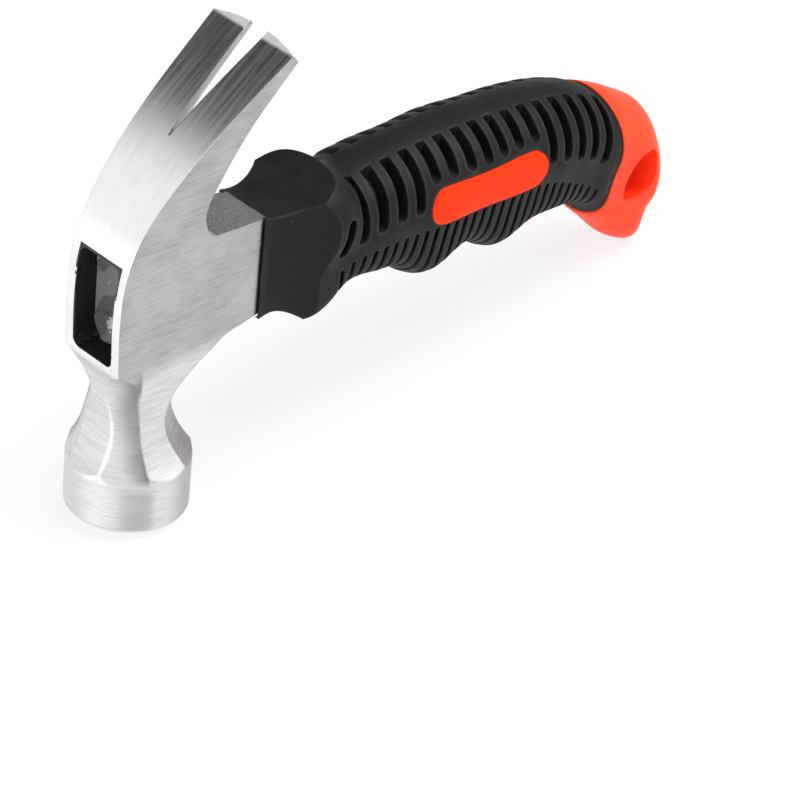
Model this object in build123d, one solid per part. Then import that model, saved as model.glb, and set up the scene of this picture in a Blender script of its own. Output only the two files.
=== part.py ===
from build123d import *
from math import cos, exp, hypot, pi, radians, sin, tan
import os

# Stubby claw hammer with a moulded two-colour handle, millimetres.
# Everything is drawn in the hammer's own axes and set down at the end:
#   X runs along the handle from the head to the butt,
#   Z runs along the head from the striking face to the claw,
#   Y runs across the hammer, which is the same on both sides of Y = 0.
# The centre of the striking face is the drawing's zero point.

# ---------------------------------------------------------------- head sizes
face_diameter = 27.0
face_edge_radius = 1.2
poll_height = 12.0          # lowest point of the scallops ground above the face
waist_height = 25.0         # narrowest place of the neck
waist_front = 8.9           # axis to the flat in front
waist_side = 8.25           # axis to the flats at the sides
waist_rear = 8.9            # axis to the flat behind
waist_front_corner = 9.3    # axis to the slanted flats in front
waist_rear_corner = 7.7     # axis to the slanted flats behind
front_corner_angle = 48.0   # slanted flat in front, turned from the side
rear_corner_angle = 42.0    # slanted flat behind, turned from the side

cheek_half_width = 8.5      # beside the eye's mouth
cheek_rear_half_width = 6.6 # the cheeks draw together towards the handle
cheek_bottom = 39.3         # underside of the cheek block at the handle
cheek_top = 63.1            # top of the cheek block at the handle
cheek_front = 12.0          # axis to the eye's face
cheek_rear = 28.9           # axis to the rear end that meets the handle
cheek_corner_radius = 1.2

claw_height = 105.6         # claw tip above the striking face
claw_reach = 28.6           # claw tip behind the head's axis
claw_tip_round = 40.0       # the two tips lie on this arc
claw_tip_thickness = 1.8
claw_tip_half_width = 12.7
nail_slot_length = 29.3
nail_slot_tip_width = 5.6
nail_slot_root_width = 0.5
nail_slot_land = 1.2        # depth of the slot's straight walls behind the claw's back
nail_slot_flare = 36.0      # slope of the walls from there to the claw's hollow side

# ----------------------------------------------------------------- eye sizes
eye_bottom = 40.6           # mouth of the eye, at the front
eye_length = 23.6
eye_width = 12.4
eye_rear_length = 18.0      # the eye narrows towards the handle
eye_rear_width = 10.0
eye_corner_radius = 1.8
resin_recess = 5.6          # edge of the resin below the eye's face
meniscus_depth = 3.0        # the resin sinks this much further in its middle

# ------------------------------------------------------------- handle sizes
bond_gap = 1.0              # resin between the core and the eye
core_cover = 4.5            # resin over the core's front end
core_end = 112.0            # rear end of the glass-fibre core
core_corner_radius = 2.0

collar_front = 27.4         # rubber collar's front edge
collar_lip = 0.9            # lip stands out from the cheek block
pocket_gap = 0.45           # gap between the cheek block and its pocket
collar_rear = 48.8          # shoulder between the collar and the grip
collar_palm = 68.4          # fullness of the collar, palm side
collar_belly = 33.9         # fullness of the collar, finger side
collar_half_width = 13.0
grip_palm = 66.2            # height of the palm side at its fullest
grip_belly = 38.3           # height of the finger side behind the collar
grip_fullness = 14.3        # half-width at the inlays
joint_top = 130.0           # rubber meets the butt: palm side
joint_middle = 132.9        # rubber meets the butt: middle of the side
joint_bottom = 131.0        # rubber meets the butt: finger side
sleeve_thickness = 3.9
body_neck_length = 15.0     # slim front end of the orange body, in the collar
body_neck_inset = 0.8       # it is this much slimmer than the cheek block
proud = 0.35                # orange parts stand out from the rubber

slot_count = 17             # finger slots on each side
slot_first = 46.5           # first slot, where it crosses the slot level
slot_pitch = 5.09
slot_level = 53.5
slot_width = 2.8
slot_depth = 2.9
spine_half_width = 4.2      # smooth band along the back of the grip

ring_first = 47.5
ring_pitch = 2.85
ring_width = 1.35
ring_depth = 1.5

section_points = 8          # points that draw one rounded cross-section

inlay_start = 70.3
inlay_end = 105.6
inlay_height = 8.4
inlay_level = 53.9

hang_hole_length = 13.2
hang_hole_width = 9.2
hang_hole_radius = 3.2
hang_hole_x = 143.1
hang_hole_z = 36.5

face_radius = face_diameter / 2
wide = 60.0                 # half-length of tools that reach past the part


# ------------------------------------------------------------ small helpers
def prism(outline, plane, half_length=wide):
    """Closed outline pushed the same way to both sides of its plane."""
    return extrude(plane * make_face(outline.edges()), half_length, both=True)


def mirrored(shape):
    return mirror(shape, Plane.XZ)


def near_half(shape):
    """Half of a shape, on the side of positive Y."""
    return shape & (Pos(0, 2 * wide, 0) * Box(8 * wide, 4 * wide, 4 * wide))


def rounded_block(x0, x1, z0, z1, half_width, radius):
    """Bar along X with rounded long edges."""
    middle = Plane(origin=(x0, 0, (z0 + z1) / 2), x_dir=(0, 1, 0), z_dir=(1, 0, 0))
    return extrude(middle * RectangleRounded(2 * half_width, z1 - z0, radius), x1 - x0)


# ----------------------------------------------------------------------- head
def claw_back():
    """Outer curve of the eye's face and the claw, from the neck to the tip."""
    return Spline(
        (-cheek_front + 0.3, cheek_bottom + 0.6),
        (-cheek_front, cheek_bottom + 11),
        (-cheek_front + 3, cheek_bottom + 29.5),
        (-cheek_front + 13.2, cheek_bottom + 43.7),
        (claw_reach, claw_height),
        tangents=[(-0.03, 1), (0.8, 0.6)],
    )


def side_silhouette():
    """Head seen from the side: poll, neck, cheek block and claw."""
    tip = (claw_reach, claw_height)
    tip_slope = radians(38)
    tip_inner = (
        claw_reach + claw_tip_thickness * sin(tip_slope),
        claw_height - claw_tip_thickness * cos(tip_slope),
    )
    neck_front = Spline(
        (-face_radius - 0.6, poll_height - 0.6),
        (-waist_front, waist_height),
        (-cheek_front + 0.3, cheek_bottom + 0.6),
        tangents=[(0.9, 1), (-0.25, 1)],
    )
    claw_front = Spline(
        tip_inner,
        (claw_reach - 9.3, claw_height - 14.5),
        (claw_reach - 16.9, claw_height - 27.5),
        (claw_reach - 19.0, cheek_top + 7.2),
        (claw_reach - 14.4, cheek_top + 1.4),
        tangents=[(-0.7, -1), (1, -0.25)],
    )
    neck_rear = Spline(
        (cheek_rear, cheek_bottom),
        (16.5, cheek_bottom - 1.9),
        (waist_rear + 1.1, waist_height + 6.2),
        (waist_rear, waist_height - 0.6),
        (face_radius + 0.6, poll_height - 0.6),
        tangents=[(-1, -0.03), (0.8, -1)],
    )
    return (
        neck_front
        + claw_back()
        + Line(tip, tip_inner)
        + claw_front
        + Line((claw_reach - 14.4, cheek_top + 1.4), (cheek_rear, cheek_top))
        + Line((cheek_rear, cheek_top), (cheek_rear, cheek_bottom))
        + neck_rear
        + Polyline(
            (face_radius + 0.6, poll_height - 0.6),
            (face_radius + 0.6, 0),
            (-face_radius - 0.6, 0),
            (-face_radius - 0.6, poll_height - 0.6),
        )
    )


def front_silhouette():
    """Head seen along the handle: half of it, from the axis outwards."""
    side = Spline(
        (face_radius + 0.6, poll_height - 0.6),
        (waist_side, waist_height + 1),
        (cheek_half_width, cheek_bottom),
        tangents=[(-0.9, 1), (0, 1)],
    )
    flare_start = cheek_top + 1
    flare = Spline(
        (cheek_half_width, flare_start),
        (cheek_half_width + 1.1, flare_start + 16),
        (claw_tip_half_width, claw_height + 2),
        tangents=[(0, 1), (0.14, 1)],
    )
    return (
        Polyline((0, 0), (face_radius + 0.6, 0), (face_radius + 0.6, poll_height - 0.6))
        + side
        + Line((cheek_half_width, cheek_bottom), (cheek_half_width, flare_start))
        + flare
        + Polyline((claw_tip_half_width, claw_height + 2), (0, claw_height + 2), (0, 0))
    )


def front_corner_profile():
    """Slanted flats in front: ground hollow, running out at the eye."""
    top = cheek_bottom + 0.1
    hollow = Spline(
        (face_radius + 0.6, poll_height - 0.6),
        (waist_front_corner + 0.25, waist_height - 1),
        (waist_front_corner - 0.1, waist_height + 8.4),
        (waist_front_corner + 4.8, top),
        tangents=[(-0.9, 1), (1, 0.75)],
    )
    return (
        hollow
        + Polyline(
            (waist_front_corner + 4.8, top),
            (wide, top + 6),
            (wide, claw_height + 10),
            (-wide, claw_height + 10),
            (-wide, -1),
            (face_radius + 0.6, -1),
            (face_radius + 0.6, poll_height - 0.6),
        )
    )


def rear_corner_profile():
    """Slanted flats behind: they sweep out under the cheek block."""
    far = (cheek_rear + cheek_half_width) * 0.71 + 3
    sweep = Spline(
        (face_radius + 0.6, poll_height - 0.6),
        (waist_rear_corner, waist_height),
        (waist_rear_corner + 3.3, waist_height + 7.5),
        (waist_rear_corner + 8.2, cheek_bottom - 2.6),
        (far, cheek_bottom + 2.2),
        tangents=[(-0.8, 1), (1, 0.28)],
    )
    return (
        sweep
        + Polyline(
            (far, cheek_bottom + 2.2),
            (wide, cheek_bottom + 2.2),
            (wide, claw_height + 10),
            (-wide, claw_height + 10),
            (-wide, -1),
            (face_radius + 0.6, -1),
            (face_radius + 0.6, poll_height - 0.6),
        )
    )


def corner_prism(profile, angle):
    """Profile whose outward direction is turned from -Y by the angle towards -X."""
    outward = (-sin(radians(angle)), -cos(radians(angle)), 0)
    along = (-cos(radians(angle)), sin(radians(angle)), 0)
    return prism(profile, Plane(origin=(0, 0, 0), x_dir=outward, z_dir=along))


def poll_cylinder():
    """Round striking end below, open space above the neck."""
    turned = Pos(0, 0, waist_height / 2 - 1) * Cylinder(face_radius, waist_height - 2)
    turned = fillet(turned.edges().group_by(Axis.Z)[0], face_edge_radius)
    above = Pos(0, 0, waist_height - 2 + wide) * Box(2 * wide, 2 * wide, 2 * wide)
    return turned + above


def cheek_taper():
    """Space between the cheeks, which draw together towards the handle."""
    front = -wide
    rear = cheek_rear
    slope = (cheek_half_width - cheek_rear_half_width) / (cheek_rear + cheek_front)
    level_sections = (
        (-1, 0, face_radius + 2),
        (waist_height - 6, 0, face_radius + 2),
        (waist_height + 2, 0, cheek_half_width + 0.2),
        (cheek_bottom - 1, slope, cheek_half_width + 0.1),
        (cheek_top + 0.5, slope, cheek_half_width + 0.1),
        (cheek_top + 16, 0, cheek_half_width + 3),
        (claw_height + 3, 0, claw_tip_half_width + 4),
    )
    levels = []
    for z, taper, half in level_sections:
        front_half = half + taper * (-cheek_front - front)
        rear_half = half - taper * (rear + 20 + cheek_front)
        corners = [(front, -front_half), (rear + 20, -rear_half), (rear + 20, rear_half), (front, front_half)]
        levels.append(Pos(0, 0, z) * make_face(Polyline(corners, close=True).edges()))
    return loft(levels, ruled=True)


def claw_tip_trim():
    """Space behind the arc on which the two tips lie, seen square to the claw's back."""
    slope = radians(38)
    along = (cos(slope), 0, sin(slope))
    place = Plane(origin=(claw_reach, 0, claw_height), x_dir=along, z_dir=(sin(slope), 0, -cos(slope)))
    disc = Pos(-claw_tip_round, 0) * Circle(claw_tip_round)
    room = disc + Pos(-150 - claw_tip_round / 2, 0) * Rectangle(300, 300)
    return extrude(place * room, 150, both=True)


def nail_slot_section(place, half_width, flare):
    """Section across the slot: straight walls, then walls that lean apart."""
    depth = 16.0
    spread = half_width + (depth - nail_slot_land) * tan(radians(nail_slot_flare)) * flare
    half = [(half_width, -3), (half_width, nail_slot_land), (spread, depth)]
    other = [(-y, z) for y, z in reversed(half)]
    return place * make_face(Polyline(half + other, close=True).edges())


def nail_slot():
    """Tapering slot between the claws, flared towards their hollow side."""
    back = claw_back()
    root_share = 1 - nail_slot_length / back.length
    sections = []
    for step in (0.0, 0.12, 0.4, 0.7, 1.0):
        share = root_share + (1 - root_share) * step
        point = back @ share
        heading = back % share
        place = Plane(origin=(point.X, 0, point.Y), x_dir=(0, 1, 0), z_dir=(-heading.X, 0, -heading.Y))
        half = (nail_slot_root_width + (nail_slot_tip_width - nail_slot_root_width) * step) / 2
        sections.append(nail_slot_section(place, half, min(1.0, step / 0.12)))
    onward = back % 1
    return loft(sections, ruled=True) + extrude(sections[-1], 12, dir=(onward.X, 0, onward.Y))


def eye_section(x):
    """Rounded opening of the tapering eye at one place along the handle."""
    share = (x + cheek_front) / (cheek_rear + cheek_front)
    length = eye_length + (eye_rear_length - eye_length) * share
    width = eye_width + (eye_rear_width - eye_width) * share
    place = Plane(origin=(x, 0, eye_bottom + eye_length / 2), x_dir=(0, 1, 0), z_dir=(1, 0, 0))
    return place * RectangleRounded(width, length, eye_corner_radius)


def eye_space(x0, x1):
    return loft([eye_section(x0), eye_section(x1)])


def make_head():
    head = prism(side_silhouette(), Plane.XZ, 20)
    half = prism(front_silhouette(), Plane.YZ)
    head = head & (half + mirrored(half))
    head = head & poll_cylinder() & cheek_taper() & claw_tip_trim()
    for profile, angle in (
        (front_corner_profile(), front_corner_angle),
        (rear_corner_profile(), -rear_corner_angle),
    ):
        slanted = corner_prism(profile, angle)
        head = head & slanted
        head = head & mirrored(slanted)
    head = head - nail_slot()
    head = head - eye_space(-cheek_front - 4, cheek_rear + 1)
    return head


# -------------------------------------------------------------------- eye fill
def make_core():
    """Glass-fibre bar: tang in the eye and stiffener inside the handle."""
    front = resin_recess + meniscus_depth - cheek_front + core_cover
    length = eye_rear_length - 2 * bond_gap
    width = eye_rear_width - 2 * bond_gap
    middle = eye_bottom + eye_length / 2
    return rounded_block(
        front, core_end, middle - length / 2, middle + length / 2, width / 2, core_corner_radius
    )


def make_resin(core):
    """Cured resin round the tang, with a sunken surface in the eye's mouth."""
    surface = resin_recess - cheek_front
    fill = eye_space(surface, cheek_rear)
    bowl_radius = (eye_width / 2) ** 2 / (2 * meniscus_depth) + meniscus_depth / 2
    straight = eye_length - eye_width
    bowl = Cylinder(bowl_radius, straight)
    bowl += Pos(0, 0, straight / 2) * Sphere(bowl_radius)
    bowl += Pos(0, 0, -straight / 2) * Sphere(bowl_radius)
    bowl = Pos(surface + meniscus_depth - bowl_radius, 0, eye_bottom + eye_length / 2) * bowl
    return fill - bowl - core


# ----------------------------------------------------------------- grip shape
def collar_share(x, shift=0.0):
    """One at the collar, nought in the grip, with a smooth shoulder between."""
    return 1 / (1 + exp((x - collar_rear - shift) / 1.2))


def belly_height(x):
    """Underside: full at the collar, then a slow rise with two finger bumps."""
    share = collar_share(x, -1.5)
    bumps = 5.4 * exp(-(((x - 76) / 6.5) ** 2)) + 4.3 * exp(-(((x - 98) / 6.5) ** 2))
    return (grip_belly - 0.07 * (x - 50) - bumps) * (1 - share) + collar_belly * share


def palm_height(x):
    """Back: full at the collar, then a shallow arch that falls to the butt."""
    share = collar_share(x, 1.5)
    return (grip_palm - 0.0022 * (x - 85) ** 2) * (1 - share) + collar_palm * share


def grip_half_width(x):
    """Fullest where the inlays are, slimmer towards the collar and the butt."""
    share = collar_share(x)
    return (grip_fullness - 0.0011 * (x - 88) ** 2) * (1 - share) + collar_half_width * share


def squareness(x):
    return 2.35 + 1.1 * collar_share(x)


# Each section runs from a point on the palm side to one on the finger side:
# palm x, palm z, finger x, finger z, half-width, squareness of the corners.
grip_sections = [
    (x, palm_height(x), x, belly_height(x), grip_half_width(x), squareness(x))
    for x in (collar_front + 0.3 + 5.1 * i for i in range(18))
]
butt_sections = [
    (121.6, 62.9, 120.2, 33.3, 12.8, 2.4),
    (128.6, 60.3, 126.4, 31.4, 12.4, 2.5),
    (135.6, 57.5, 131.4, 27.4, 11.6, 2.5),
    (142.2, 54.2, 136.2, 22.8, 10.6, 2.6),
    (147.8, 50.7, 140.8, 18.4, 9.7, 2.6),
    (151.9, 44.7, 145.3, 15.3, 8.9, 2.5),
    (153.8, 37.2, 149.2, 13.5, 6.9, 2.4),
    (154.4, 30.3, 152.3, 14.9, 4.8, 2.2),
    (154.4, 24.6, 153.9, 18.8, 1.9, 2.0),
]


def section_face(palm_x, palm_z, finger_x, finger_z, half_width, corners, grow):
    """Rounded cross-section of the handle, grown or shrunk by a wall."""
    span = hypot(palm_x - finger_x, palm_z - finger_z)
    up = ((palm_x - finger_x) / span, (palm_z - finger_z) / span)
    place = Plane(
        origin=((palm_x + finger_x) / 2, 0, (palm_z + finger_z) / 2),
        x_dir=(0, 1, 0),
        z_dir=(up[1], 0, -up[0]),
    )
    across = half_width + grow
    along = span / 2 + grow
    points = []
    for step in range(section_points):
        turn = 2 * pi * step / section_points
        c = cos(turn)
        s = sin(turn)
        stretch = (abs(c) ** corners + abs(s) ** corners) ** (-1 / corners)
        points.append((across * c * stretch, along * s * stretch))
    return place * make_face(Spline(points, periodic=True))


def handle_form(grow=0.0, sections=grip_sections + butt_sections):
    """Smooth outer shape of the handle, offset by grow."""
    return loft([section_face(*section, grow) for section in sections])


def before_butt(clear=0.0):
    """Space in front of the curved joint between the rubber and the butt."""
    joint = ThreePointArc((joint_top - clear, 72), (joint_middle - clear, 47), (joint_bottom - clear, 22))
    rest = Polyline(
        (joint_bottom - clear, 22), (joint_bottom - clear, -20), (-wide, -20),
        (-wide, 120), (joint_top - clear, 120), (joint_top - clear, 72),
    )
    return prism(joint + rest, Plane.XZ)


def collar_scoops():
    """Space inside the four scooped faces of the collar."""
    x0 = collar_front
    lip = cheek_top + collar_lip / 2
    above = Spline(
        (x0, lip),
        (x0 + 4.5, lip - 0.7),
        (x0 + 12, lip + 0.5),
        (x0 + 22, lip + 4.4),
        tangents=[(1, -0.2), (1, 0.4)],
    )
    foot = cheek_bottom - collar_lip / 2
    below = Spline(
        (x0, foot),
        (x0 + 4.0, foot + 0.6),
        (x0 + 12, foot - 3.4),
        (x0 + 16, foot - 6.8),
        tangents=[(1, 0.2), (1, -1)],
    )
    side_lip = cheek_rear_half_width + collar_lip
    side = Spline(
        (x0, side_lip),
        (x0 + 3.5, side_lip),
        (x0 + 12, side_lip + 2.7),
        (x0 + 16, side_lip + 6.5),
        tangents=[(1, -0.1), (1, 1.3)],
    )
    tall = (
        above
        + Polyline((x0 + 22, lip + 4.4), (x0 + 22, 120), (200, 120), (200, -40))
        + Polyline((200, -40), (x0 + 16, -40), (x0 + 16, foot - 6.8))
        + below
        + Line((x0, foot), (x0, lip))
    )
    half = (
        side
        + Polyline((x0 + 16, side_lip + 6.5), (x0 + 16, 40), (200, 40), (200, 0), (x0, 0))
        + Line((x0, 0), (x0, side_lip))
    )
    flank = prism(half, Plane.XY, 150)
    return prism(tall, Plane.XZ) & (flank + mirrored(flank))


def slot_lean(x):
    """Slots lean towards the butt, less so behind the collar."""
    behind_collar = exp((slot_first - x) / 8)
    return 11 - 6 * behind_collar


def slot_foot(index):
    """Height of a side slot's rounded lower end."""
    x = slot_first + index * slot_pitch
    if inlay_start - 2 < x < inlay_end - 1:
        return inlay_level + inlay_height / 2 + 0.9
    if x < inlay_start:
        return 53.9 - 0.0095 * (67 - x) ** 2
    behind = x - inlay_end
    return 53.2 - 0.08 * behind - 0.0105 * behind ** 2


def section_at(x):
    """Rounded cross-section of the handle, interpolated at one place."""
    stations = grip_sections + butt_sections
    rear = next(k for k in range(1, len(stations)) if stations[k][0] >= x)
    before, after = stations[rear - 1], stations[rear]
    share = (x - before[0]) / (after[0] - before[0])
    return tuple(a + (b - a) * share for a, b in zip(before, after))


def groove_floor(x, depth):
    """Short bar with the handle's cross-section, which a groove stops at."""
    face = section_face(*section_at(x), -depth)
    return extrude(face, 9, both=True)


def finger_slots():
    """Slots on one side, open towards the palm, each with its rounded floor."""
    cutters = []
    for index in range(slot_count):
        foot = slot_foot(index) + slot_width / 2
        reach = 7.0 if index == 0 else 25.0
        blank = Pos(0, reach / 2) * Rectangle(slot_width, reach)
        blank += Circle(slot_width / 2)
        if index == 0:
            blank += Pos(0, reach) * Circle(slot_width / 2)
        lean = slot_lean(slot_first + index * slot_pitch)
        x = slot_first + index * slot_pitch + (foot - slot_level) * tan(radians(lean))
        tool = extrude(Plane.XZ * Pos(x, foot) * Rot(0, 0, -lean) * blank, 20)
        tool = Pos(0, -spine_half_width, 0) * tool
        cutters.append(tool - groove_floor(x, slot_depth))
    return cutters


def ring_start(x):
    """Height on the side where a belly ring begins."""
    front = 48.4 - 5.4 * exp((ring_first - 3 - x) / 5)
    rear = 9.5 * max(0.0, (x - 103) / 23) ** 1.5
    return front - rear


def belly_rings():
    """Rings round the finger side, each with its rounded floor."""
    count = int((joint_bottom - 3 - ring_first) / ring_pitch) + 1
    cutters = []
    for index in range(count):
        x = ring_first + index * ring_pitch
        top = ring_start(x)
        reach = top - belly_height(x) + 4
        blank = Pos(0, -reach / 2) * Rectangle(ring_width, reach) + Circle(ring_width / 2)
        lean = 0.35 * max(0.0, x - 108)
        tool = extrude(Plane.XZ * Pos(x, top) * Rot(0, 0, -lean) * blank, 20, both=True)
        cutters.append(tool - groove_floor(x, ring_depth))
    return cutters


def inlay_prism(grow=0.0):
    middle = (inlay_start + inlay_end) / 2
    outline = SlotOverall(inlay_end - inlay_start + 2 * grow, inlay_height + 2 * grow)
    return extrude(Plane.XZ * Pos(middle, inlay_level) * outline, wide, both=True)


def make_body(core):
    """Orange plastic: body inside the rubber, the two inlays and the butt."""
    shoulder = cheek_rear + body_neck_length
    inner = handle_form(-sleeve_thickness) & before_butt(-1)
    inner = inner - Pos(shoulder - wide, 0, 50) * Box(2 * wide, 2 * wide, 2 * wide)
    inner = inner + rounded_block(
        cheek_rear, shoulder + 2, cheek_bottom + body_neck_inset, cheek_top - body_neck_inset,
        cheek_rear_half_width - body_neck_inset, cheek_corner_radius,
    )
    shell = handle_form(proud)
    butt = shell - before_butt()
    inlays = (shell & inlay_prism()) - handle_form(-sleeve_thickness - 1)
    hole = RectangleRounded(hang_hole_width, hang_hole_length, hang_hole_radius)
    place = Plane.XZ * Pos(hang_hole_x, hang_hole_z)
    body = inner + butt + inlays
    half = near_half(body - extrude(place * hole, wide, both=True) - core)
    return half + mirrored(half)


def make_grip(body, core):
    """Black rubber sleeve with collar, finger slots and belly rings."""
    front = Pos(collar_front - wide, 0, 50) * Box(2 * wide, 2 * wide, 2 * wide)
    pocket = rounded_block(
        collar_front - 1, cheek_rear, cheek_bottom - pocket_gap, cheek_top + pocket_gap,
        cheek_rear_half_width + pocket_gap, cheek_corner_radius,
    )
    sleeve = handle_form() & before_butt() & collar_scoops()
    sleeve = sleeve - front - pocket - core - body
    half = near_half(sleeve) - ([mirrored(slot) for slot in finger_slots()] + belly_rings())
    return half + mirrored(half)


# ------------------------------------------------------------------- set down
def lowest(shape, lean):
    return (Rot(0, lean, 0) * shape).bounding_box().min.Z


def resting_lean(head, butt):
    """Angle that puts the face's rear rim and the butt's heel on one level."""
    low, high = 0.0, 20.0
    for _ in range(14):
        middle = (low + high) / 2
        if lowest(butt, middle) > lowest(head, middle):
            low = middle
        else:
            high = middle
    return (low + high) / 2


core = make_core()
body = make_body(core)
pieces = {
    "hammer_head": make_head(),
    "handle_core": core,
    "eye_resin": make_resin(core),
    "handle_body": body,
    "rubber_grip": make_grip(body, core),
}
poll = pieces["hammer_head"] & (Pos(0, 0, 2) * Box(4 * face_radius, 4 * face_radius, 4))
heel = body - (Pos(hang_hole_x - wide, 0, wide) * Box(2 * wide, 2 * wide, 4 * wide))
lean = resting_lean(poll, heel)
leaned = {name: Rot(0, lean, 0) * piece for name, piece in pieces.items()}
boxes = [piece.bounding_box() for piece in leaned.values()]
middle_x = (min(box.min.X for box in boxes) + max(box.max.X for box in boxes)) / 2
floor_z = min(box.min.Z for box in boxes)

# ---- write each piece, resting on Z = 0 with the middle of its length at X = 0
os.makedirs("parts", exist_ok=True)
for name, piece in leaned.items():
    export_step(Pos(-middle_x, 0, -floor_z) * piece, f"parts/{name}.step")
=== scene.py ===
# %% [markdown]
# # A stubby claw hammer, dressed on its own solids
# A short hammer has five real pieces: a forged steel head, a glass-fibre core
# that is glued into the head's eye, the black resin that glues it, an orange
# plastic body round the core, and a black rubber sleeve over that body.
# The measured solids are already in their places, so this lesson does not
# model the hammer again. It gives each solid the finish of the real material
# and shows in it what moulding and grinding leave behind.

# %% Load the measured hammer
from math import cos, radians, sin

import bmesh
import bpy
from mathutils import Matrix, Vector

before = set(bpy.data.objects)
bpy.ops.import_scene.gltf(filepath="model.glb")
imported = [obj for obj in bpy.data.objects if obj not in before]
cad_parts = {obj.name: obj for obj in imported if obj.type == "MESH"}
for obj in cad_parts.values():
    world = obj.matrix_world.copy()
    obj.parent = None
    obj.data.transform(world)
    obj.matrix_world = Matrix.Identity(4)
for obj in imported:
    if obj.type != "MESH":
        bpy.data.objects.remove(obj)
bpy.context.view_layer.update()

scene = bpy.context.scene
scene.view_settings.view_transform = "Standard"
print("pieces:", ", ".join(sorted(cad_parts)))

# %% [markdown]
# ## The hammer's own axes
# The hammer rests on its face and on the heel of the handle, so it leans a
# few degrees. Grinding marks follow the hammer and not the table. It is
# easiest to keep one turned set of axes, where X runs along the handle, Z
# from the striking face to the claw, and zero is the middle of the face.

# %% Axes of the leaning hammer
lean = radians(5.4473877)
face_centre = Vector((-0.0717570, 0.0, 0.0011740))


def on_table(x, y, z):
    """A point in the hammer's own millimetres, where it stands on the table."""
    x, y, z = x / 1000, y / 1000, z / 1000
    return face_centre + Vector((x * cos(lean) + z * sin(lean), y, z * cos(lean) - x * sin(lean)))


print("claw tip stands at", [round(v, 4) for v in on_table(28.6, 0, 105.6)])

# %% [markdown]
# ## Camera
# A long lens keeps a small tool from looking like a monument. The camera
# looks down at it from the front left, so that the claw, the eye and the
# handle are all seen at once.

# %% Camera
camera_data = bpy.data.cameras.new("camera")
camera_data.lens = 167.13
camera_data.sensor_width = 36.0
camera_data.clip_start = 0.05
camera_data.clip_end = 50.0
camera = bpy.data.objects.new("camera", camera_data)
scene.collection.objects.link(camera)
looking = Matrix(
    (
        (0.729294, 0.404835, -0.551579, -0.457940),
        (-0.683895, 0.455414, -0.569987, -0.482429),
        (0.020447, 0.792910, 0.608995, 0.501727),
        (0.0, 0.0, 0.0, 1.0),
    )
)
camera.matrix_world = looking
scene.camera = camera
print("camera at", [round(v, 3) for v in camera.location])

# %% [markdown]
# ## A small helper for node materials
# Every finish below is a chain of nodes. Writing each link by hand takes
# three lines, so this helper adds a node, sets its values and wires it in
# one line. What is the same all over a surface is typed on the shader's own
# sockets, and only what changes from place to place is wired.

# %% Node helper


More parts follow.
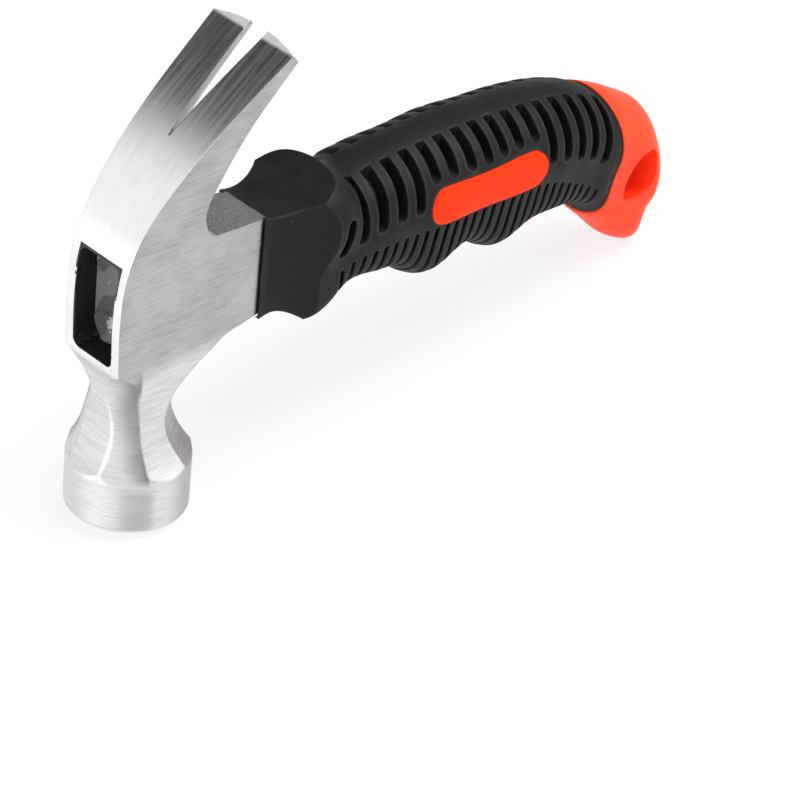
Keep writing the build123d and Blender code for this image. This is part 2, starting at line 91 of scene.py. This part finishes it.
class Finish:
    """A new material with its shader, and short ways to add nodes to it."""

    def __init__(self, name, **shader_values):
        self.material = bpy.data.materials.new(name)
        self.material.use_nodes = True
        self.tree = self.material.node_tree
        self.shader = self.tree.nodes["Principled BSDF"]
        for socket, value in shader_values.items():
            self.shader.inputs[socket.replace("_", " ")].default_value = value
        where = self.tree.nodes.new("ShaderNodeTexCoord").outputs["Object"]
        turn = self.tree.nodes.new("ShaderNodeMapping")
        turn.vector_type = "TEXTURE"
        turn.inputs["Location"].default_value = face_centre
        turn.inputs["Rotation"].default_value = (0, lean, 0)
        self.tree.links.new(where, turn.inputs["Vector"])
        scale = self.tree.nodes.new("ShaderNodeVectorMath")
        scale.operation = "SCALE"
        scale.inputs["Scale"].default_value = 1000.0
        self.tree.links.new(turn.outputs[0], scale.inputs[0])
        self.place = scale.outputs[0]
        apart = self.add("ShaderNodeSeparateXYZ", {0: self.place})
        self.x, self.y, self.z = apart.outputs
        normal = self.add("ShaderNodeNewGeometry").outputs["Normal"]
        level = {"Vector": normal, "Angle": -lean}
        turned = self.add("ShaderNodeVectorRotate", level, rotation_type="Y_AXIS")
        facing = self.add("ShaderNodeSeparateXYZ", {0: turned.outputs[0]})
        self.facing_x, self.facing_y, self.facing_z = facing.outputs

    def add(self, kind, inputs=None, **settings):
        node = self.tree.nodes.new(kind)
        for name, value in settings.items():
            setattr(node, name, value)
        for socket, value in (inputs or {}).items():
            if isinstance(value, bpy.types.NodeSocket):
                self.tree.links.new(value, node.inputs[socket])
            else:
                node.inputs[socket].default_value = value
        return node

    def calc(self, kind, a, b=0.0, c=0.0):
        return self.add("ShaderNodeMath", {0: a, 1: b, 2: c}, operation=kind).outputs[0]

    def both(self, a, b):
        """Where one mask and the other both hold."""
        return self.calc("MULTIPLY", a, b)

    def between(self, value, low, high, to_low=0.0, to_high=1.0):
        """A soft step: to_low below low, to_high above high."""
        inputs = {"Value": value, "From Min": low, "From Max": high, "To Min": to_low, "To Max": to_high}
        return self.add("ShaderNodeMapRange", inputs, interpolation_type="SMOOTHSTEP").outputs["Result"]

    def stretched(self, x, y, z):
        """Coordinates for a texture: larger numbers make finer marks that way."""
        inputs = {0: self.place, 1: (x, y, z)}
        return self.add("ShaderNodeVectorMath", inputs, operation="MULTIPLY").outputs[0]

    def noise(self, place, scale=1.0, detail=3.0, roughness=0.6):
        inputs = {"Vector": place, "Scale": scale, "Detail": detail, "Roughness": roughness}
        return self.add("ShaderNodeTexNoise", inputs).outputs["Fac"]

    def mix(self, amount, a, b):
        node = self.add("ShaderNodeMix", {0: amount}, data_type="FLOAT")
        for socket, value in ((2, a), (3, b)):
            if isinstance(value, bpy.types.NodeSocket):
                self.tree.links.new(value, node.inputs[socket])
            else:
                node.inputs[socket].default_value = value
        return node.outputs[0]

    def mix_colour(self, amount, a, b):
        node = self.add("ShaderNodeMix", {0: amount}, data_type="RGBA")
        for socket, value in ((6, a), (7, b)):
            if isinstance(value, bpy.types.NodeSocket):
                self.tree.links.new(value, node.inputs[socket])
            else:
                node.inputs[socket].default_value = (*value, 1.0)
        return node.outputs[2]

    def bump(self, height, distance, under=None):
        inputs = {"Height": height, "Distance": distance}
        if under:
            inputs["Normal"] = under
        return self.add("ShaderNodeBump", inputs).outputs["Normal"]

    def softened_edges(self, radius, samples=6):
        return self.add("ShaderNodeBevel", {"Radius": radius}, samples=samples).outputs["Normal"]

    def wire(self, output, socket):
        self.tree.links.new(output, self.shader.inputs[socket])


print("helper ready")

# %% [markdown]
# ## Floor and backdrop
# The floor is a white table top. It must look white and still keep the soft
# shadows, so the eye and the mirror-like parts see it partly as a plain
# white sheet, while the lamps light the rest of it. The world is a white
# room whose upper part is dark on the handle's side. The claw bends from the
# white part of the room towards the dark one, and that darkens its ends. The
# camera and the steel see one and the same room.

# %% Table top and world
sheet_share = 0.80
floor_mesh = bpy.data.meshes.new("table_top")
floor_shape = bmesh.new()
bmesh.ops.create_grid(floor_shape, x_segments=8, y_segments=8, size=5.0)
floor_shape.to_mesh(floor_mesh)
floor_shape.free()
floor = bpy.data.objects.new("table_top", floor_mesh)
floor.location = (0, 0, -0.00002)
scene.collection.objects.link(floor)

table_white = bpy.data.materials.new("table_white")
table_white.use_nodes = True
nodes, links = table_white.node_tree.nodes, table_white.node_tree.links
nodes.remove(nodes["Principled BSDF"])
matt = nodes.new("ShaderNodeBsdfDiffuse")
matt.inputs["Color"].default_value = (0.93, 0.93, 0.93, 1)
sheet = nodes.new("ShaderNodeEmission")
sheet.inputs["Color"].default_value = (1, 1, 1, 1)
rays = nodes.new("ShaderNodeLightPath")
seen = nodes.new("ShaderNodeMath")
seen.operation = "MAXIMUM"
seen_too = nodes.new("ShaderNodeMath")
seen_too.operation = "MAXIMUM"
share = nodes.new("ShaderNodeMath")
share.operation = "MULTIPLY"
share.inputs[1].default_value = sheet_share
table_mix = nodes.new("ShaderNodeMixShader")
links.new(rays.outputs["Is Camera Ray"], seen.inputs[0])
links.new(rays.outputs["Is Glossy Ray"], seen.inputs[1])
links.new(seen.outputs[0], seen_too.inputs[0])
links.new(rays.outputs["Is Transmission Ray"], seen_too.inputs[1])
links.new(seen_too.outputs[0], share.inputs[0])
links.new(share.outputs[0], table_mix.inputs[0])
links.new(matt.outputs[0], table_mix.inputs[1])
links.new(sheet.outputs[0], table_mix.inputs[2])
links.new(table_mix.outputs[0], nodes["Material Output"].inputs["Surface"])
floor.data.materials.append(table_white)

world = bpy.data.worlds.new("sweep")
world.use_nodes = True
scene.world = world
nodes, links = world.node_tree.nodes, world.node_tree.links
towards = nodes.new("ShaderNodeTexCoord")
height = nodes.new("ShaderNodeSeparateXYZ")
dark_side = nodes.new("ShaderNodeVectorMath")
dark_side.operation = "DOT_PRODUCT"
dark_side.inputs[1].default_value = (0.8, 0.1, 0.4)
fade = nodes.new("ShaderNodeMapRange")
fade.interpolation_type = "SMOOTHSTEP"
fade.inputs["From Min"].default_value = -0.12
fade.inputs["From Max"].default_value = 0.15
fade.inputs["To Min"].default_value = 1.0
fade.inputs["To Max"].default_value = 0.03
upper = nodes.new("ShaderNodeMapRange")
upper.inputs["From Min"].default_value = 0.08
upper.inputs["From Max"].default_value = 0.25
room = nodes.new("ShaderNodeMix")
room.inputs[2].default_value = 1.0
links.new(towards.outputs["Generated"], height.inputs[0])
links.new(towards.outputs["Generated"], dark_side.inputs[0])
links.new(dark_side.outputs["Value"], fade.inputs["Value"])
links.new(height.outputs["Z"], upper.inputs["Value"])
links.new(upper.outputs[0], room.inputs[0])
links.new(fade.outputs[0], room.inputs[3])
links.new(room.outputs[0], nodes["Background"].inputs["Color"])
nodes["Background"].inputs["Strength"].default_value = 1.0
print("table top", [round(v, 2) for v in floor.dimensions])

# %% [markdown]
# ## Lamps
# Three soft boxes: a large one overhead, one low on the left that draws the
# bright stripe down the round striking end, and a weak one in front on the
# right. Their size matters more than their power: a large lamp close by
# gives soft shadows and broad, quiet reflections.

# %% Soft boxes


def soft_box(name, place, aim, width, height, power):
    data = bpy.data.lights.new(name, "AREA")
    data.shape = "RECTANGLE"
    data.size, data.size_y, data.energy = width, height, power
    lamp = bpy.data.objects.new(name, data)
    lamp.location = place
    lamp.rotation_euler = (Vector(aim) - Vector(place)).to_track_quat("-Z", "Y").to_euler()
    scene.collection.objects.link(lamp)
    return lamp


overhead = soft_box("overhead", (0.45, -0.30, 1.25), (0.02, 0, 0), 1.2, 1.1, 27)
left_box = soft_box("left_box", (-1.25, 0.10, 0.16), (0, 0, 0.05), 0.9, 0.3, 5)
right_box = soft_box("right_box", (0.95, -1.0, 0.45), (0, 0, 0.04), 0.6, 0.6, 2)
print("lamps:", [lamp.name for lamp in (overhead, left_box, right_box)])

# %% [markdown]
# ## Brushed steel
# The head is a forging that was ground on a belt and then brushed. A belt
# leaves long fine scratches, and they follow the way the smith held the
# piece: along the claw on the claw's faces, and level round the neck, the
# cheeks and the striking end. A noise texture pressed long one way makes
# such scratches. They go into a very low bump, the roughness and the tone.
# Light on brushed metal spreads across the scratches, so the shader's
# anisotropy gets a direction too.

# %% Steel: which way the scratches run
steel = Finish("brushed_steel", Metallic=1.0, Anisotropic=0.6, Specular_IOR_Level=0.5)
side_on = steel.calc("ABSOLUTE", steel.facing_y)
claw_part = steel.between(steel.z, 37.5, 40.0)
along_claw = steel.both(steel.between(side_on, 0.5, 0.75, 1.0, 0.0), claw_part)

level_scratches = steel.noise(steel.stretched(0.05, 0.05, 1.3), detail=4.0, roughness=0.7)
claw_scratches = steel.noise(steel.stretched(0.045, 1.4, 0.045), detail=4.0, roughness=0.7)
scratches = steel.mix(along_claw, level_scratches, claw_scratches)
hairlines = steel.mix(
    along_claw,
    steel.noise(steel.stretched(0.16, 0.16, 3.6), detail=3.0),
    steel.noise(steel.stretched(0.15, 3.8, 0.15), detail=3.0),
)
wide_patches = steel.noise(steel.place, scale=0.09, detail=2.0)
across = steel.add(
    "ShaderNodeCombineXYZ",
    {0: 0.0, 1: along_claw, 2: steel.calc("SUBTRACT", 1.0, along_claw)},
)
steel.wire(across.outputs[0], "Tangent")
print("scratch fields:", len(steel.tree.nodes), "nodes so far")

# %% [markdown]
# The top of the cheek block, between the claw and the rubber, was never
# ground. It keeps the speckled grey skin of the forging. Inside the eye, the
# walls are daubed with black lacquer that runs a little ragged at the mouth.

# %% Steel: forged skin and lacquered eye
eye_middle = 52.4
eye_half_length = 12.3
eye_half_width = 6.6
eye_mouth = -12.2
resin_level = -2.0
top_edge = steel.noise(steel.place, scale=1.3, detail=3.0)
top_limit = steel.calc("MULTIPLY_ADD", top_edge, 0.06, 0.90)
forged_top = steel.calc("GREATER_THAN", steel.facing_z, top_limit)
on_block = steel.both(steel.between(steel.z, 61.0, 61.6), steel.between(steel.z, 67.5, 69.0, 1.0, 0.0))
forged = steel.both(forged_top, on_block)
grit = steel.noise(steel.place, scale=4.6, detail=3.0, roughness=0.7)

ragged = steel.noise(steel.place, scale=0.9, detail=4.0)
lacquer_edge = steel.calc("MULTIPLY_ADD", ragged, 1.2, eye_mouth)
in_front = steel.between(steel.x, resin_level, resin_level + 0.1, 1.0, 0.0)
in_depth = steel.both(steel.calc("GREATER_THAN", steel.x, lacquer_edge), in_front)
in_width = steel.calc("LESS_THAN", steel.calc("ABSOLUTE", steel.y), eye_half_width)
from_middle = steel.calc("ABSOLUTE", steel.calc("SUBTRACT", steel.z, eye_middle))
in_height = steel.calc("LESS_THAN", from_middle, eye_half_length)
lacquer = steel.both(steel.both(in_depth, in_width), in_height)
flaking = steel.noise(steel.place, scale=2.2, detail=5.0, roughness=0.8)
bare_speck = steel.between(flaking, 0.60, 0.68, 0.0, 0.35)
print("forged skin and lacquer masked")

# %% [markdown]
# The belt did not leave one even tone. The cheeks are duller than the neck and the claw. The neck and
# the striking end are painted darker on the handle's side: this is painted shade.
# Dark bands are painted down the striking end and along the neck's slanted flats on the side away from
# the handle. These bands are painted reflections, set into the steel's colour, so they stay where they
# are when the hammer is seen from another side.

# %% Steel: colour
band_faces_x, band_faces_y = -0.523, -0.846
belted = steel.mix_colour(hairlines, (0.20, 0.20, 0.202), (0.60, 0.60, 0.604))
rounded = steel.mix_colour(hairlines, (0.42, 0.42, 0.424), (0.97, 0.97, 0.975))
# Painted shade: the neck and the striking end are darker on the handle's side.
handle_side_painted_shade = steel.mix_colour(hairlines, (0.17, 0.17, 0.172), (0.56, 0.56, 0.565))
rounded = steel.mix_colour(steel.between(steel.facing_x, -0.1, 0.45), rounded, handle_side_painted_shade)
# Painted reflections: dark bands down the striking end and along the neck's slanted flats.
towards_band = steel.calc("MULTIPLY", steel.facing_y, band_faces_y)
towards_band = steel.calc("MULTIPLY_ADD", steel.facing_x, band_faces_x, towards_band)
on_poll = steel.between(steel.z, 9.0, 14.0, 0.6, 0.0)
poll_painted_band = steel.both(steel.between(towards_band, 0.93, 0.998), on_poll)
before_crease = steel.between(steel.x, -5.2, -4.4, 1.0, 0.0)
neck_flat_painted_band = steel.both(steel.between(steel.x, -9.5, -5.3), before_crease)
neck_flat_painted_band = steel.both(neck_flat_painted_band, steel.between(steel.z, 11.0, 14.0))
painted_band_darkening = steel.calc("MULTIPLY", steel.calc("MAXIMUM", poll_painted_band, neck_flat_painted_band), 0.8)
rounded = steel.mix_colour(painted_band_darkening, rounded, (0.17, 0.17, 0.173))
belted = steel.mix_colour(steel.between(steel.z, 35.0, 40.0), rounded, belted)
brushed = steel.mix_colour(hairlines, (0.78, 0.78, 0.785), (1.0, 1.0, 1.0))
bright = steel.mix_colour(along_claw, belted, brushed)
dulled = steel.between(wide_patches, 0.35, 0.7, 0.0, 0.25)
bright = steel.mix_colour(dulled, bright, (0.74, 0.74, 0.745))
skin = steel.mix_colour(steel.between(grit, 0.35, 0.68), (0.09, 0.09, 0.093), (0.36, 0.36, 0.36))
tone = steel.mix_colour(forged, bright, skin)
daub = steel.mix_colour(bare_speck, (0.012, 0.012, 0.013), (0.35, 0.35, 0.35))
tone = steel.mix_colour(lacquer, tone, daub)
steel.wire(tone, "Base Color")
steel.wire(steel.calc("SUBTRACT", 1.0, steel.calc("MULTIPLY", lacquer, 0.9)), "Metallic")
print("steel tones wired")

# %% [markdown]
# The claw is brushed finer than the rest. The very ends of its tips are worn
# matt, so they catch more light. The corners of the neck were rounded by the
# belt, while those of the cheeks, the eye and the claw stayed crisp.

# %% Steel: roughness and relief
claw_gloss = steel.between(scratches, 0.3, 0.7, 0.20, 0.30)
ground = steel.mix(along_claw, steel.between(scratches, 0.3, 0.7, 0.30, 0.42), claw_gloss)
tip_ends = steel.both(steel.between(steel.x, 26.4, 27.2), along_claw)
ground = steel.mix(tip_ends, ground, 0.55)
gloss = steel.mix(forged, ground, 0.52)
gloss = steel.mix(lacquer, gloss, 0.42)
steel.wire(gloss, "Roughness")
rounding = steel.between(steel.z, 34.0, 38.5, 0.0012, 0.0003)
scratch_depth = steel.mix(along_claw, 0.00002, 0.000006)
relief = steel.bump(scratches, scratch_depth, under=steel.softened_edges(rounding, samples=8))
relief = steel.bump(hairlines, steel.calc("MULTIPLY", scratch_depth, 0.5), under=relief)
relief = steel.bump(steel.calc("MULTIPLY", grit, forged), 0.00009, under=relief)
relief = steel.bump(steel.calc("MULTIPLY", ragged, lacquer), 0.0005, under=relief)
steel.wire(relief, "Normal")
print("steel has", len(steel.tree.nodes), "nodes")

# %% [markdown]
# ## Black rubber
# Soft moulded rubber is never quite black or quite even. It has a fine matt skin, a few worn and dusty
# places, and dust specks that cling to it. The mould rounds every edge a little, which the bevel node
# gives without touching the solid. Where the bevel turns the surface, an edge is near, so the same node
# also finds the edges, which are coloured lighter grey: partly wear from hands, partly a painted sheen.
# A fine seam along the middle of the back shows where the two mould halves met.

# %% Rubber
rubber = Finish("black_rubber", IOR=1.5, Specular_IOR_Level=0.22)
cloudy = rubber.noise(rubber.place, scale=0.16, detail=4.0)
grain = rubber.noise(rubber.place, scale=4.5, detail=2.0)
black = rubber.mix_colour(cloudy, (0.0030, 0.0031, 0.0033), (0.0085, 0.0085, 0.0082))
corners = rubber.add("ShaderNodeBevel", {"Radius": 0.0012}, samples=4).outputs["Normal"]
plain = rubber.add("ShaderNodeNewGeometry").outputs["Normal"]
agree = rubber.add("ShaderNodeVectorMath", {0: corners, 1: plain}, operation="DOT_PRODUCT")
# Painted sheen, partly wear: the edges found by the bevel are coloured lighter grey.
on_edge = rubber.between(agree.outputs["Value"], 0.80, 0.985, 1.0, 0.0)
edge_wear_and_painted_sheen = rubber.both(on_edge, rubber.between(cloudy, 0.35, 0.65, 0.3, 1.0))
black = rubber.mix_colour(edge_wear_and_painted_sheen, black, (0.045, 0.045, 0.044))

cells = rubber.add("ShaderNodeTexVoronoi", {"Vector": rubber.place, "Scale": 0.22})
few = rubber.add("ShaderNodeSeparateColor", {0: cells.outputs["Color"]}).outputs[0]
chosen = rubber.calc("GREATER_THAN", few, 0.55)
near = rubber.between(cells.outputs["Distance"], 0.014, 0.024, 1.0, 0.0)
specks = rubber.both(chosen, near)
rubber.wire(rubber.mix_colour(specks, black, (0.30, 0.30, 0.29)), "Base Color")
rubber.wire(rubber.between(cloudy, 0.3, 0.7, 0.50, 0.66), "Roughness")
relief = rubber.bump(grain, 0.00002, under=rubber.softened_edges(0.00045))
relief = rubber.bump(cloudy, 0.0002, under=relief)
beside_seam = rubber.calc("SUBTRACT", rubber.y, 0.25)
beside_seam = rubber.calc("ABSOLUTE", rubber.calc("MULTIPLY_ADD", cloudy, 0.5, beside_seam))
seam = rubber.between(beside_seam, 0.1, 0.32, 1.0, 0.0)
relief = rubber.bump(seam, 0.00025, under=relief)
rubber.wire(relief, "Normal")
print("rubber has", len(rubber.tree.nodes), "nodes")

# %% [markdown]
# ## Orange plastic
# The inner body shows as two inlays and as the whole butt. It is a satin
# plastic that lets a little light in, so it glows redder in the hanging hole
# and where it is thin. Subsurface scattering gives that glow. The front end
# of the body is out of sight in the sleeve. It is coloured black, because the
# sleeve's first side slot is cut through to it at one spot, where a real
# sleeve would still have rubber. The spot is a fault of the solid and stays
# in it. Only its colour is hidden here.

# %% Orange plastic
orange = Finish(
    "orange_plastic",
    IOR=1.5,
    Specular_IOR_Level=0.07,
    Subsurface_Weight=0.25,
    Subsurface_Radius=(1.0, 0.25, 0.1),
    Subsurface_Scale=0.002,
)
inlay_end = 112.0
butt_start = 124.0
hidden_to = 62.0
shown_from = 66.0
flow = orange.noise(orange.place, scale=0.05, detail=2.0)
pores = orange.noise(orange.place, scale=2.5, detail=3.0)
inlay = orange.mix_colour(flow, (1.0, 0.030, 0.001), (1.0, 0.038, 0.003))
# The butt is coloured a lighter orange than the inlays: this is painted glow.
butt_with_painted_glow = orange.mix_colour(flow, (1.0, 0.044, 0.010), (1.0, 0.068, 0.020))
colour = orange.mix_colour(orange.between(orange.x, inlay_end, butt_start), inlay, butt_with_painted_glow)
in_sleeve = orange.between(orange.x, hidden_to, shown_from, 1.0, 0.0)
colour = orange.mix_colour(in_sleeve, colour, (0.006, 0.006, 0.006))
orange.wire(colour, "Base Color")
orange.wire(orange.between(pores, 0.3, 0.7, 0.34, 0.46), "Roughness")
relief = orange.bump(pores, 0.000012, under=orange.softened_edges(0.0005))
relief = orange.bump(flow, 0.0004, under=relief)
orange.wire(relief, "Normal")
print("orange plastic has", len(orange.tree.nodes), "nodes")

# %% [markdown]
# ## Resin and glass fibre
# The resin in the eye set with a smooth, wet-looking skin that creeps up the
# walls. The core inside is hidden, but it is a real piece, so it gets the
# cloudy straw colour of drawn glass fibre with its long strands.

# %% Resin and core
resin = Finish("resin", IOR=1.5, Specular_IOR_Level=0.6, Coat_Weight=0.6, Coat_Roughness=0.03)
ripple = resin.noise(resin.place, scale=0.22, detail=3.0)
# The resin's black is mixed with grey in large soft patches.
resin_grey_noise = resin.noise(resin.stretched(0.14, 0.14, 0.07), detail=2.0, roughness=0.5)
resin_grey_patches = resin.between(resin_grey_noise, 0.50, 0.53)
resin.wire(resin.mix_colour(resin_grey_patches, (0.10, 0.10, 0.102), (0.008, 0.008, 0.009)), "Base Color")
resin.wire(resin.between(ripple, 0.3, 0.7, 0.08, 0.2), "Roughness")
resin.wire(resin.bump(ripple, 0.0009), "Normal")

fibre = Finish("glass_fibre", IOR=1.5, Subsurface_Weight=0.2, Subsurface_Scale=0.001)
strands = fibre.noise(fibre.stretched(0.05, 3.0, 3.0), detail=4.0)
fibre.wire(fibre.mix_colour(strands, (0.55, 0.50, 0.36), (0.78, 0.74, 0.60)), "Base Color")
fibre.wire(fibre.between(strands, 0.2, 0.8, 0.35, 0.6), "Roughness")
fibre.wire(fibre.bump(strands, 0.00005), "Normal")
print("resin and glass fibre ready")

# %% [markdown]
# ## Dressing the solids
# The solids have the right shapes, so each one stays and only its material slots are filled.

# %% Put the finishes on the solids
finishes = {
    "hammer_head": steel,
    "rubber_grip": rubber,
    "handle_body": orange,
    "eye_resin": resin,
    "handle_core": fibre,
}
for name, finish in finishes.items():
    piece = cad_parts[name]
    if not piece.material_slots:
        piece.data.materials.append(finish.material)
    for place in piece.material_slots:
        place.material = finish.material
    print(name, len(piece.data.polygons), "faces wear", finish.material.name)
